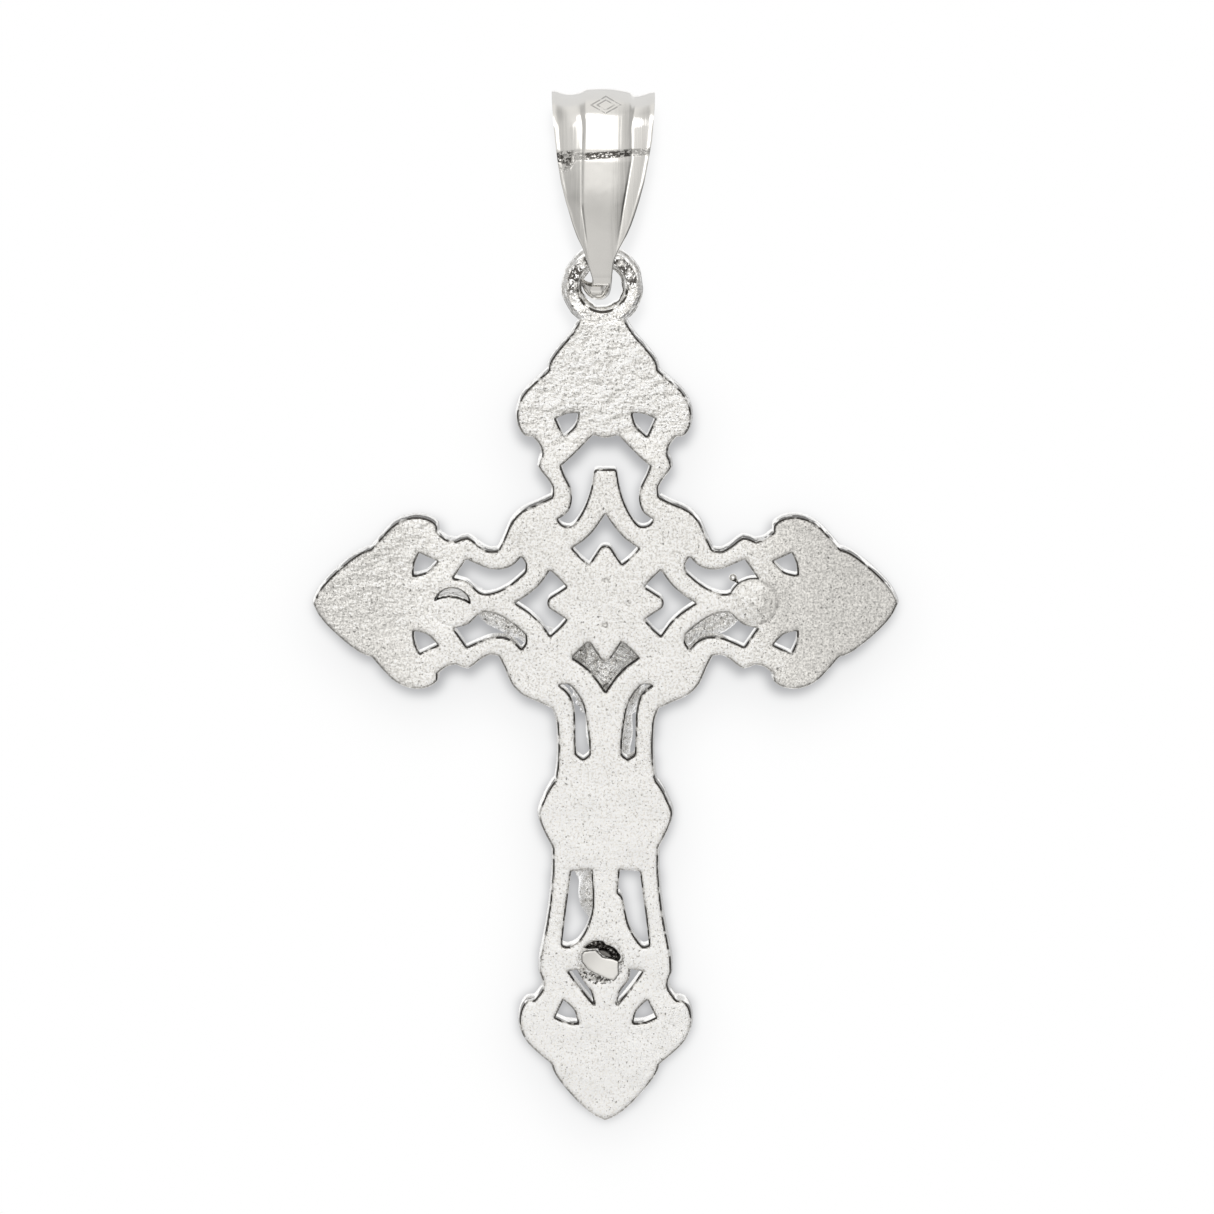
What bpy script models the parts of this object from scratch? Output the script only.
"""A cast silver crucifix pendant with a folded strip bail.

The flat back of the cross lies on y = 0 and its front faces +Y. The origin is on the back face, at
the centre of the crossing. Dimensions are in millimetres and the meshes are made in metres.
"""

import math

import bmesh
import bpy
from mathutils import Matrix, Vector

MM = 0.001
GAP = 0.02  # between pieces that solder or a pin holds together

# ---- cross casting ----
PLATE_T = 1.2
BEAM_RISE = 0.25  # raised plain cross on the front, on which the figure lies
BEAM_HALF = 1.15
LEAF_RISE = 0.38  # domed leaves on the front of each finial
FOOT_SHIFT = 10.1  # the foot finial is a wing finial, this much further out
TOP_LEAN = -0.13  # the eye and the point under it sit a little to one side

# Edge stretches of one arm, as (distance out along the arm, distance from its centre line).
SHOULDER = [(2.28, 4.55), (2.85, 4.27), (3.5, 3.98), (3.98, 3.5), (4.27, 2.85), (4.55, 2.28)]
NECK = [(4.55, 2.28), (4.95, 2.24), (5.4, 2.5), (5.85, 2.82), (6.35, 2.66)]
COLLAR = [(6.35, 2.66), (6.75, 2.74), (7.15, 3.05)]
LOBE = [(7.15, 3.05), (7.17, 3.35), (7.5, 3.6), (8.05, 3.7), (8.65, 3.56), (9.2, 3.18), (9.95, 2.34)]
POINT = [(9.95, 2.34), (10.45, 2.13), (11.1, 1.65), (11.75, 1.05), (12.2, 0.5), (12.42, 0.0)]
TOP_POINT = [(9.95, 2.34), (10.4, 2.2), (11.0, 1.75), (11.5, 1.32), (12.1, 0.95)]
SHAFT = [(4.55, 2.28), (5.1, 2.08), (6.1, 2.02), (7.0, 2.05), (7.65, 2.15)]
KNOP = [(7.65, 2.15), (8.05, 2.42), (8.55, 2.66), (9.1, 2.85), (9.75, 2.68), (10.55, 2.28)]
FOOT_SHAFT = [(10.55, 2.28), (11.4, 2.25), (12.8, 2.36), (14.1, 2.55), (15.4, 2.8), (16.05, 2.82)]
FOOT_NECK = [(16.05, 2.82), (16.45, 2.68), (16.8, 2.72), (17.25, 3.05)]

# Half openings mirror about the centre line of their arm; the rest are whole loops.
CHEVRON_HALF = [
    [(3.82, 0), (3.2, 0.42), (2.72, 0.88), (2.36, 1.4)],
    [(2.36, 1.4), (2.0, 1.07), (1.68, 0.7)],
    [(1.68, 0.7), (2.1, 0.42), (2.42, 0.2), (2.48, 0)],
]
HEAD_HALF = [
    [(7.08, 0), (7.2, 0.52)],
    [(7.2, 0.52), (6.28, 1.42), (5.88, 1.88)],
    [(5.88, 1.88), (5.45, 1.72), (4.95, 1.48), (4.4, 1.42), (3.9, 1.6), (3.6, 2.02)],
    [(3.6, 2.02), (3.38, 1.85), (3.3, 1.6), (3.4, 1.35), (3.9, 1.0), (4.5, 0.74), (5.1, 0.58), (5.6, 0.5)],
    [(5.6, 0.5), (5.75, 0.4), (5.76, 0)],
]
SWOOSH = [
    [(3.58, 1.98), (3.4, 1.68), (3.44, 1.35)],
    [(3.44, 1.35), (3.9, 0.93), (4.5, 0.55), (5.1, 0.4), (5.45, 0.55), (5.85, 0.92), (6.45, 1.08)],
    [(6.45, 1.08), (5.9, 1.88)],
    [(5.9, 1.88), (5.4, 1.65), (4.9, 1.47), (4.35, 1.46), (3.9, 1.65), (3.58, 1.98)],
]
EYELET = [
    [(7.15, 1.8), (7.9, 2.15)],
    [(7.9, 2.15), (8.1, 1.7), (8.15, 1.2)],
    [(8.15, 1.2), (7.6, 1.35), (7.15, 1.8)],
]
SLIT = [
    [(3.55, 1.95), (3.5, 1.62), (3.8, 1.3), (4.3, 1.0), (5.0, 0.83), (5.9, 0.72), (6.5, 0.7)],
    [(6.5, 0.7), (6.74, 0.95), (6.5, 1.24)],
    [(6.5, 1.24), (5.8, 1.28), (4.8, 1.3), (4.0, 1.5), (3.55, 1.95)],
]
WINDOW_RIGHT = [
    [(11.55, 0.62), (12.55, 0.53)],
    [(12.55, 0.53), (12.8, 0.74), (13.9, 0.98), (14.6, 1.35), (14.9, 1.62), (14.82, 1.86)],
    [(14.82, 1.86), (13.6, 1.72), (11.62, 1.46)],
    [(11.62, 1.46), (11.55, 0.62)],
]
WINDOW_LEFT = [
    [(11.55, 0.62), (12.55, 0.56)],
    [(12.55, 0.56), (13.3, 0.58), (14.1, 0.82), (14.7, 1.2), (14.9, 1.62), (14.82, 1.86)],
    [(14.82, 1.86), (13.6, 1.72), (11.62, 1.46)],
    [(11.62, 1.46), (11.55, 0.62)],
]
FOOT_SLOT = [
    [(15.88, 1.06), (15.98, 1.58)],
    [(15.98, 1.58), (16.6, 1.15), (17.42, 0.5)],
    [(17.42, 0.5), (16.85, 0.65), (16.35, 1.0), (15.88, 1.06)],
]
SMOOTH_STEPS = 2  # points on each step of a smooth stretch

# ---- eye at the top ----
EYE_X, EYE_Z = TOP_LEAN, 13.5
EYE_R, EYE_HOLE_R = 1.65, 0.86
EYE_INSET = 0.06  # the eye is this much thinner than the plate, on each side
EYE_CHAMFER = 0.16

# ---- soldered joints behind the hands and the feet ----
RIGHT_HOLE = (6.4, 0.03, 0.84)  # x, z, radius
DOME_R, DOME_RISE = 0.98, 0.13
BEAD = (5.42, 1.07, 0.18)
LEFT_HOLE = (-6.5, -0.1, 0.76)
LEFT_FILL_TOP = 0.17  # the fill stops here, which leaves a crescent gap above it
FOOT_HOLE = (-0.2, -15.5, 0.87)
PIN_R = 0.56
PIN_HEAD = [(-1.0, -15.0), (-0.4, -15.25), (-0.1, -15.36), (0.4, -15.4), (0.58, -15.85),
            (0.34, -16.28), (-0.1, -16.14), (-0.65, -15.85), (-1.04, -15.5)]
PIN_HEAD_OUT = 0.14

# ---- bail ----
STRIP_T = 0.32
CURL_R, CROWN_R = 1.06, 1.69  # middle of the strip, at the bottom curl and over the crown
BAIL_Y = PLATE_T / 2
CURL_Z, CROWN_Z = 14.17, 20.2
SEAM_ANGLE = math.radians(33)  # below the middle of the curl, on the back
SEAM_GAP = 0.12
PIVOT_Z = EYE_Z + (EYE_R + EYE_HOLE_R) / 2
CURL_HALF, END_HALF = 0.56, 0.39  # half widths of the two ends that meet at the seam
BAIL_X, CURL_X = -0.13, -0.4  # the end that comes round under the eye sits to one side
HALF_WIDTHS = [(12.9, 0.39), (13.6, 0.39), (14.9, 0.62), (15.6, 0.87), (17.2, 1.4), (19.0, 1.78),
               (20.85, 2.06), (22.1, 2.18)]  # (height, half width) up a leaf

# ---- figure ----
FIGURE_BACK = PLATE_T + BEAM_RISE + GAP
FIGURE_VOXEL = 0.33


# ======================= helpers =======================


def smooth(points, steps=SMOOTH_STEPS):
    """A Catmull-Rom curve through the points."""
    if len(points) == 2:
        return list(points)
    out = []
    for i in range(len(points) - 1):
        p = [Vector(points[min(max(k, 0), len(points) - 1)]) for k in range(i - 1, i + 3)]
        for k in range(steps):
            t = k / steps
            out.append(tuple(0.5 * (2 * p[1] + (p[2] - p[0]) * t
                                    + (2 * p[0] - 5 * p[1] + 4 * p[2] - p[3]) * t * t
                                    + (3 * p[1] - 3 * p[2] + p[3] - p[0]) * t ** 3)))
    return out + [points[-1]]


def chain(*stretches):
    """Smooth stretches end to end, each starting at the corner where the one before ends."""
    out = []
    for stretch in stretches:
        out += smooth(stretch)[:-1]
    return out + [stretches[-1][-1]]


def mirrored_half(stretches):
    half = chain(*stretches)
    return half + [(a, -s) for a, s in half[::-1]][1:-1]


def up(points):
    return [(s, a) for a, s in points]


def down(points):
    return [(s, -a) for a, s in points]


def flip_x(points):
    return [(-x, z) for x, z in points]


def flip_z(points):
    return [(x, -z) for x, z in points]


def out_by(points, distance):
    return [(a + distance, s) for a, s in points]


def mesh_object(name, bm, origin=(0, 0, 0)):
    """An object from a bmesh in millimetres, with its origin moved to a point."""
    bmesh.ops.translate(bm, verts=bm.verts, vec=-Vector(origin))
    bmesh.ops.scale(bm, verts=bm.verts, vec=(MM, MM, MM))
    bmesh.ops.recalc_face_normals(bm, faces=bm.faces)
    mesh = bpy.data.meshes.new(name)
    bm.to_mesh(mesh)
    bm.free()
    obj = bpy.data.objects.new(name, mesh)
    obj.location = Vector(origin) * MM
    bpy.context.scene.collection.objects.link(obj)
    return obj


def slab(name, loops, y0, y1):
    """A plate with the first loop as its outline and the rest as openings."""
    bm = bmesh.new()
    edges = []
    for loop in loops:
        verts = [bm.verts.new((x, y0, z)) for x, z in loop]
        edges += [bm.edges.new((a, b)) for a, b in zip(verts, verts[1:] + verts[:1])]
    faces = bmesh.ops.triangle_fill(bm, edges=edges, use_beauty=True)["geom"]
    faces = [f for f in faces if isinstance(f, bmesh.types.BMFace)]
    top = bmesh.ops.extrude_face_region(bm, geom=faces)["geom"]
    moved = [v for v in top if isinstance(v, bmesh.types.BMVert)]
    bmesh.ops.translate(bm, verts=moved, vec=(0, y1 - y0, 0))
    return mesh_object(name, bm)


def lathe(name, profile, x, z, segments):
    """A solid of revolution about an axis along Y; the profile is (radius, y), closed on itself."""
    bm = bmesh.new()
    rings = []
    for k in range(segments):
        turn = math.tau * k / segments
        rings.append([bm.verts.new((x + r * math.cos(turn), y, z + r * math.sin(turn)))
                      for r, y in profile])
    for k in range(segments):
        a, b = rings[k], rings[(k + 1) % segments]
        for i in range(len(profile)):
            j = (i + 1) % len(profile)
            bm.faces.new((a[i], a[j], b[j], b[i]))
    bmesh.ops.remove_doubles(bm, verts=bm.verts, dist=1e-5)
    return mesh_object(name, bm)


def drum(name, x, z, r, y0, y1, segments=40):
    """A plain round bar along Y."""
    bm = bmesh.new()
    turn = Matrix.Rotation(math.pi / 2, 4, "X")
    bmesh.ops.create_cone(bm, cap_ends=True, segments=segments, radius1=r, radius2=r,
                          depth=y1 - y0, matrix=Matrix.Translation((x, (y0 + y1) / 2, z)) @ turn)
    return mesh_object(name, bm)


def ball(bm, centre, radii, turn=(0, 0, 0), u=20, v=12):
    """An ellipsoid added to a bmesh; turn is in degrees about X, Y and Z."""
    spin = Matrix.Identity(4)
    for angle, axis in zip(turn, "XYZ"):
        spin = Matrix.Rotation(math.radians(angle), 4, axis) @ spin
    shape = Matrix.Diagonal((*radii, 1))
    bmesh.ops.create_uvsphere(bm, u_segments=u, v_segments=v, radius=1,
                              matrix=Matrix.Translation(centre) @ spin @ shape)


def limb(bm, points, radii, segments=14):
    """Round bars with ball ends through the points."""
    for (a, b), (ra, rb) in zip(zip(points, points[1:]), zip(radii, radii[1:])):
        a, b = Vector(a), Vector(b)
        turn = (b - a).to_track_quat("Z", "Y").to_matrix().to_4x4()
        bmesh.ops.create_cone(bm, cap_ends=True, segments=segments, radius1=ra, radius2=rb,
                              depth=(b - a).length, matrix=Matrix.Translation((a + b) / 2) @ turn)
    for point, r in zip(points, radii):
        ball(bm, point, (r, r, r), u=14, v=10)


def boolean(obj, other, operation):
    mod = obj.modifiers.new(other.name, "BOOLEAN")
    mod.operation = operation
    mod.solver = "EXACT"
    mod.object = other
    other.hide_render = True
    other.display_type = "WIRE"


def material(obj, name, roughness, metallic=1.0, colour=(0.86, 0.84, 0.80)):
    mat = bpy.data.materials.new(name)
    mat.use_nodes = True
    shader = mat.node_tree.nodes["Principled BSDF"]
    shader.inputs["Base Color"].default_value = (*colour, 1)
    shader.inputs["Metallic"].default_value = metallic
    shader.inputs["Roughness"].default_value = roughness
    mat.diffuse_color = (*colour, 1)
    obj.data.materials.clear()
    obj.data.materials.append(mat)


def shade(obj, angle=None):
    """Smooth shading; with an angle, edges sharper than it stay sharp."""
    obj.data.polygons.foreach_set("use_smooth", [True] * len(obj.data.polygons))
    if angle is not None:
        obj.data.set_sharp_from_angle(angle=math.radians(angle))


# ======================= cross casting =======================


def cross_outline():
    """The outline from the eye's neck, down the right side, round the foot and up the left."""
    finial = chain(NECK, COLLAR, LOBE, POINT)
    top = up(chain(NECK, COLLAR, LOBE, TOP_POINT))[::-1]
    wing = finial + flip_z(finial)[::-1][1:]
    shoulder = chain(SHOULDER)
    foot = chain(FOOT_NECK, out_by(LOBE, FOOT_SHIFT), out_by(POINT, FOOT_SHIFT))
    right = (top + shoulder[1:] + wing[1:] + flip_z(shoulder)[::-1][1:]
             + down(chain(SHAFT, KNOP, FOOT_SHAFT))[1:] + down(foot)[1:])
    return [lean(p) for p in right + flip_x(right)[::-1][1:]]


def lean(point):
    """The top arm leans to one side, from nothing at its neck to TOP_LEAN at the eye."""
    x, z = point
    return x + TOP_LEAN * min(max((z - 5) / 7, 0), 1), z


def openings():
    chevron = mirrored_half(CHEVRON_HALF)
    loops = [chevron, flip_x(chevron), up(chevron), down(chevron), up(mirrored_half(HEAD_HALF))]
    for loop in (chain(*SWOOSH)[:-1], chain(*EYELET)[:-1]):
        loops += [loop, flip_x(loop), flip_z(loop), flip_x(flip_z(loop))]
    top_eyelet = [lean(p) for p in up(chain(*EYELET)[:-1])]
    foot_eyelet = down(out_by(chain(*EYELET)[:-1], FOOT_SHIFT))
    slit = down(chain(*SLIT)[:-1])
    slot = down(chain(*FOOT_SLOT)[:-1])
    for loop in (top_eyelet, foot_eyelet, slit, slot):
        loops += [loop, flip_x(loop)]
    loops += [down(chain(*WINDOW_RIGHT)[:-1]), flip_x(down(chain(*WINDOW_LEFT)[:-1]))]
    return loops


def beam_outlines():
    """Raised bands behind the figure: a small cross at the crossing and a bar down the shaft."""
    near, far, half = 0.5, 2.3, BEAM_HALF
    quarter = [(near / 2, far), (near, near), (far, near / 2)]
    star = quarter + flip_z(quarter)[::-1]
    star += flip_x(star)[::-1]
    bar = [(0.3, -4.3), (0.42, -6.95), (half, -7.4), (half, -11.0), (0.4, -11.4), (0.4, -14.3)]
    return [star, bar + flip_x(bar)[::-1]]


def finial_leaves(name, places):
    """One pointed and two round domes on each finial: (centre of the finial, direction out)."""
    bm = bmesh.new()
    for (x, z), (ux, uz) in places:
        for along, across, long_r, wide_r in ((2.0, 0, 1.5, 0.72), (1.05, 1.75, 0.9, 0.6),
                                              (1.05, -1.75, 0.9, 0.6)):
            cx, cz = x + ux * along - uz * across, z + uz * along + ux * across
            splay = math.degrees(math.atan2(ux, uz)) + 24 * across
            ball(bm, (cx, PLATE_T - 0.12, cz), (wide_r, LEAF_RISE + 0.12, long_r),
                 turn=(0, splay, 0), u=12, v=8)
    return mesh_object(name, bm)


def cross_plate():
    plate = slab("cross_plate", [cross_outline()] + openings(), 0, PLATE_T)
    beam = slab("beam", beam_outlines(), PLATE_T - 0.3, PLATE_T + BEAM_RISE)
    eye = lathe("eye", [
        (0.4, EYE_INSET), (EYE_R - EYE_CHAMFER, EYE_INSET), (EYE_R, EYE_INSET + EYE_CHAMFER),
        (EYE_R, PLATE_T - EYE_INSET - EYE_CHAMFER),
        (EYE_R - EYE_CHAMFER, PLATE_T - EYE_INSET), (0.4, PLATE_T - EYE_INSET),
    ], EYE_X, EYE_Z, 56)
    bore = lathe("bore", [
        (0, -1), (EYE_HOLE_R + 1 + EYE_CHAMFER, -1),
        (EYE_HOLE_R, EYE_INSET + EYE_CHAMFER), (EYE_HOLE_R, PLATE_T - EYE_INSET - EYE_CHAMFER),
        (EYE_HOLE_R + 1 + EYE_CHAMFER, PLATE_T + 1), (0, PLATE_T + 1),
    ], EYE_X, EYE_Z, 40)
    leaves = finial_leaves("leaves", [((8.0, 0), (1, 0)), ((-8.0, 0), (-1, 0)),
                                      ((0, -8.0 - FOOT_SHIFT), (0, -1)), ((TOP_LEAN / 2, 8.0), (0, 1))])
    boolean(plate, beam, "UNION")
    boolean(plate, eye, "UNION")
    boolean(plate, bore, "DIFFERENCE")
    for name, (x, z, r) in (("hole_r", RIGHT_HOLE), ("hole_l", LEFT_HOLE), ("hole_f", FOOT_HOLE)):
        boolean(plate, drum(name, x, z, r, -1, PLATE_T + 1, 32), "DIFFERENCE")
    shade(plate, 30)
    material(plate, "cast_silver", 0.45)
    return plate, leaves


# ======================= solder and pin =======================


def domed_plug():
    """Fills the right hole and stands a little proud of the back as a smooth dome."""
    x, z, r = RIGHT_HOLE
    rim = [(DOME_R * math.cos(t), -GAP - DOME_RISE * math.sin(t) ** 1.5)
           for t in (math.radians(a) for a in range(0, 90, 18))]
    front = FIGURE_BACK - GAP
    profile = [(0, front), (r - GAP, front), (r - GAP, -GAP)] + rim
    plug = lathe("hand_solder_right", profile + [(0, -GAP - DOME_RISE)], x, z, 32)
    shade(plug, 40)
    material(plug, "solder_smooth", 0.4)


def cut_plug():
    """Fills the lower part of the left hole only."""
    x, z, r = LEFT_HOLE
    plug = drum("hand_solder_left", x, z, r - GAP, 0.06, FIGURE_BACK - GAP)
    boolean(plug, drum("gap_cutter", x, LEFT_FILL_TOP + 1.6, 1.6, -1, PLATE_T + 1, 64), "DIFFERENCE")
    shade(plug, 30)
    material(plug, "solder_bright", 0.25)


def solder_bead():
    """A ball of solder that froze on the wall of the opening above the right hand."""
    x, z, r = BEAD
    hx, hz, _ = RIGHT_HOLE
    away = Vector((hx - x, 0, hz - z)).normalized()
    foot = Vector((x, 0.3, z)) + away * 0.24
    bead = bpy_limb("solder_bead", [(x, 0.3, z), tuple(foot)], [r, 0.07], 0.05)
    material(bead, "solder_bead_silver", 0.2)


def foot_pin():
    """A pin with a ground-off head on the back of the cross."""
    x, z, _ = FOOT_HOLE
    pin = slab("foot_pin", [PIN_HEAD], -PIN_HEAD_OUT, 0.16)
    shank = drum("shank", x, z - 0.12, PIN_R, 0.05, FIGURE_BACK - GAP, 28)
    boolean(pin, shank, "UNION")
    shade(pin, 30)
    material(pin, "pin_ground", 0.15)


def foot_solder():
    """A collar of solder round the pin, lower at the top, where a crevice stays open."""
    x, z, r = FOOT_HOLE
    collar = drum("foot_solder", x, z, r - GAP, 0.2, PLATE_T - GAP, 32)
    boolean(collar, drum("pin_clearance", x, z - 0.12, PIN_R + GAP, -1, 3, 28), "DIFFERENCE")
    ramp = slab("ramp", [[(x - 2, z - 0.4), (x + 2, z - 0.4), (x + 2, z + 2), (x - 2, z + 2)]],
                -1, 0.75)
    boolean(collar, ramp, "DIFFERENCE")
    shade(collar, 30)
    material(collar, "solder_rough", 0.6)


def bpy_limb(name, points, radii, voxel):
    bm = bmesh.new()
    limb(bm, points, radii)
    obj = mesh_object(name, bm)
    mod = obj.modifiers.new("one_skin", "REMESH")
    mod.mode = "VOXEL"
    mod.voxel_size = max(voxel * MM, 0.0001)
    mod.use_smooth_shade = True
    return obj


# ======================= bail =======================


def half_width(z):
    """The strip's half width at a height on a leaf."""
    for (z0, w0), (z1, w1) in zip(HALF_WIDTHS, HALF_WIDTHS[1:]):
        if z <= z1:
            t = max((z - z0) / (z1 - z0), 0)
            return w0 + (w1 - w0) * t
    return HALF_WIDTHS[-1][1]


def bail_path():
    """Stations round the loop: (y, z, outward y, outward z, half width, x of the middle)."""
    lean_in = math.asin((CROWN_R - CURL_R) / (CROWN_Z - CURL_Z))
    stations = []

    def add(cz, r, angle, width=None, x=BAIL_X):
        ny, nz = -math.cos(angle), math.sin(angle)
        z = cz + r * nz
        stations.append((BAIL_Y + r * ny, z, ny, nz, width or half_width(z), x))

    for k in range(3):  # from the seam up to the back leaf
        add(CURL_Z, CURL_R, -SEAM_ANGLE + (SEAM_ANGLE - lean_in) * k / 3)
    for k in range(9):  # back leaf
        t = k / 9
        add(CURL_Z + (CROWN_Z - CURL_Z) * t, CURL_R + (CROWN_R - CURL_R) * t, -lean_in)
    for k in range(15):  # over the crown
        add(CROWN_Z, CROWN_R, -lean_in + (math.pi + 2 * lean_in) * k / 14)
    for k in range(1, 10):  # front leaf
        t = 1 - k / 9
        add(CURL_Z + (CROWN_Z - CURL_Z) * t, CURL_R + (CROWN_R - CURL_R) * t, math.pi + lean_in)
    turn = math.pi - lean_in - SEAM_ANGLE - SEAM_GAP / CURL_R
    start = stations[-1][4]
    for k in range(1, 10):  # under the eye and up to the seam
        t = k / 9
        ease = t * t * (3 - 2 * t)
        add(CURL_Z, CURL_R, math.pi + lean_in + turn * t, start + (CURL_HALF - start) * ease,
            BAIL_X + (CURL_X - BAIL_X) * ease)
    return stations


def flute(s):
    """Height of the strip's outer face across its width, for s from -1 to 1."""
    a = abs(s)
    if a < 0.46:
        return 0.05
    if a < 0.56:
        return 0.09
    if a < 0.86:
        return -0.07
    return 0.06 if a < 0.99 else 0.0


def bail_strip():
    """The strip, folded over and round under the eye, with flutes that fade out down the leaf."""
    across = (-1, -0.92, -0.8, -0.66, -0.53, -0.44, 0, 0.44, 0.53, 0.66, 0.8, 0.92, 1)
    bm = bmesh.new()
    rows = []
    for y, z, ny, nz, half, x in bail_path():
        fade = min(max((half - 0.5) / 1.2, 0), 1)
        row = []
        for side, steps in ((0.5, across), (-0.5, across[::-1])):
            for s in steps:
                lift = flute(s) * fade + side * STRIP_T
                row.append(bm.verts.new((x + s * half, y + ny * lift, z + nz * lift)))
        rows.append(row)
    for a, b in zip(rows, rows[1:]):
        for i in range(len(a)):
            j = (i + 1) % len(a)
            bm.faces.new((a[i], a[j], b[j], b[i]))
    bm.faces.new(rows[0])
    bm.faces.new(rows[-1])
    strip = mesh_object("bail_strip", bm, (0, BAIL_Y, PIVOT_Z))
    shade(strip, 40)
    material(strip, "silver_mirror", 0.08)


def bail_seam():
    """The line of solder that closes the strip's two ends on the back."""
    angle = -SEAM_ANGLE - SEAM_GAP / CURL_R / 2
    ny, nz = -math.cos(angle), math.sin(angle)
    centre = Vector((BAIL_X - 0.06, BAIL_Y + CURL_R * ny, CURL_Z + CURL_R * nz))
    bm = bmesh.new()
    depth, length = STRIP_T * 0.82, END_HALF * 1.8
    tangent_tilt = Matrix.Rotation(-angle, 4, "X")
    size = Matrix.Diagonal((length, depth, SEAM_GAP - 2 * GAP, 1))
    bmesh.ops.create_cube(bm, size=1, matrix=Matrix.Translation(centre) @ tangent_tilt @ size)
    bmesh.ops.bevel(bm, geom=bm.edges[:], offset=0.02, segments=1, affect="EDGES")
    seam = mesh_object("bail_seam_solder", bm, (0, BAIL_Y, PIVOT_Z))
    material(seam, "solder_line", 0.3)


# ======================= figure =======================


def corpus():
    """The figure on the front: cast on its own, flat behind, with generic proportions."""
    y = FIGURE_BACK
    bm = bmesh.new()
    # legs: one foot over the other, knees forward and to one side
    limb(bm, [(0.55, y + 1.0, -8.6), (-0.45, y + 1.75, -11.9), (-0.35, y + 0.65, -15.2)],
         [0.82, 0.6, 0.36])
    limb(bm, [(-0.25, y + 0.9, -8.6), (-0.62, y + 1.45, -12.0), (-0.15, y + 0.4, -15.0)],
         [0.82, 0.58, 0.36])
    limb(bm, [(-0.3, y + 0.75, -15.1), (-0.12, y + 1.0, -16.0), (-0.1, y + 0.85, -16.75)],
         [0.4, 0.36, 0.24])
    # trunk
    ball(bm, (0.12, y + 0.75, -3.75), (1.5, 1.0, 1.75), turn=(0, 4, 0))
    ball(bm, (0.16, y + 0.65, -5.7), (1.1, 0.75, 1.5))
    ball(bm, (0.25, y + 0.8, -7.9), (1.35, 0.98, 1.35), turn=(0, -6, 0))
    limb(bm, [(-1.35, y + 0.75, -2.55), (0.12, y + 0.85, -2.5), (1.5, y + 0.75, -2.55)],
         [0.6, 0.7, 0.6])
    # cloth, with a knot at the hip
    ball(bm, (0.22, y + 0.85, -8.5), (1.5, 1.08, 1.05), turn=(0, 8, 0))
    ball(bm, (1.6, y + 0.7, -8.2), (0.42, 0.45, 0.5))
    ball(bm, (1.72, y + 0.6, -9.3), (0.3, 0.32, 0.95), turn=(0, -8, 0))
    # arms and hands
    limb(bm, [(-1.5, y + 0.6, -2.5), (-3.95, y + 0.42, -1.1), (-6.0, y + 0.3, 0.45)],
         [0.68, 0.58, 0.42])
    ball(bm, (-6.6, y + 0.25, 0.68), (0.72, 0.36, 0.5), turn=(0, -30, 0), u=14, v=10)
    limb(bm, [(1.65, y + 0.6, -2.5), (4.1, y + 0.42, -1.2), (6.1, y + 0.3, -0.25)],
         [0.68, 0.58, 0.42])
    ball(bm, (6.75, y + 0.25, 0.02), (0.72, 0.36, 0.5), turn=(0, 24, 0), u=14, v=10)
    # neck, head, hair and beard
    limb(bm, [(0.12, y + 0.75, -2.4), (0.3, y + 0.95, -0.9)], [0.62, 0.56])
    ball(bm, (0.42, y + 1.2, 0.0), (0.82, 0.95, 1.12), turn=(12, 14, 0))
    ball(bm, (0.38, y + 0.85, 0.05), (0.98, 0.85, 1.15), turn=(8, 14, 0))
    ball(bm, (0.52, y + 1.65, -0.8), (0.46, 0.4, 0.5), turn=(20, 14, 0))
    figure = mesh_object("corpus", bm)
    mod = figure.modifiers.new("one_skin", "REMESH")
    mod.mode = "VOXEL"
    mod.voxel_size = FIGURE_VOXEL * MM
    mod.use_smooth_shade = True
    soft = figure.modifiers.new("soften", "SMOOTH")
    soft.factor, soft.iterations = 0.5, 4
    back = slab("back_cutter", [[(-9, -19), (9, -19), (9, 4), (-9, 4)]], FIGURE_BACK - 4, FIGURE_BACK)
    boolean(figure, back, "DIFFERENCE")
    material(figure, "corpus_silver", 0.3)


def main():
    for obj in list(bpy.data.objects):
        bpy.data.objects.remove(obj, do_unlink=True)
    _, leaves = cross_plate()
    boolean(bpy.data.objects["cross_plate"], leaves, "UNION")
    domed_plug()
    cut_plug()
    solder_bead()
    foot_pin()
    foot_solder()
    corpus()
    bail_strip()
    bail_seam()


main()
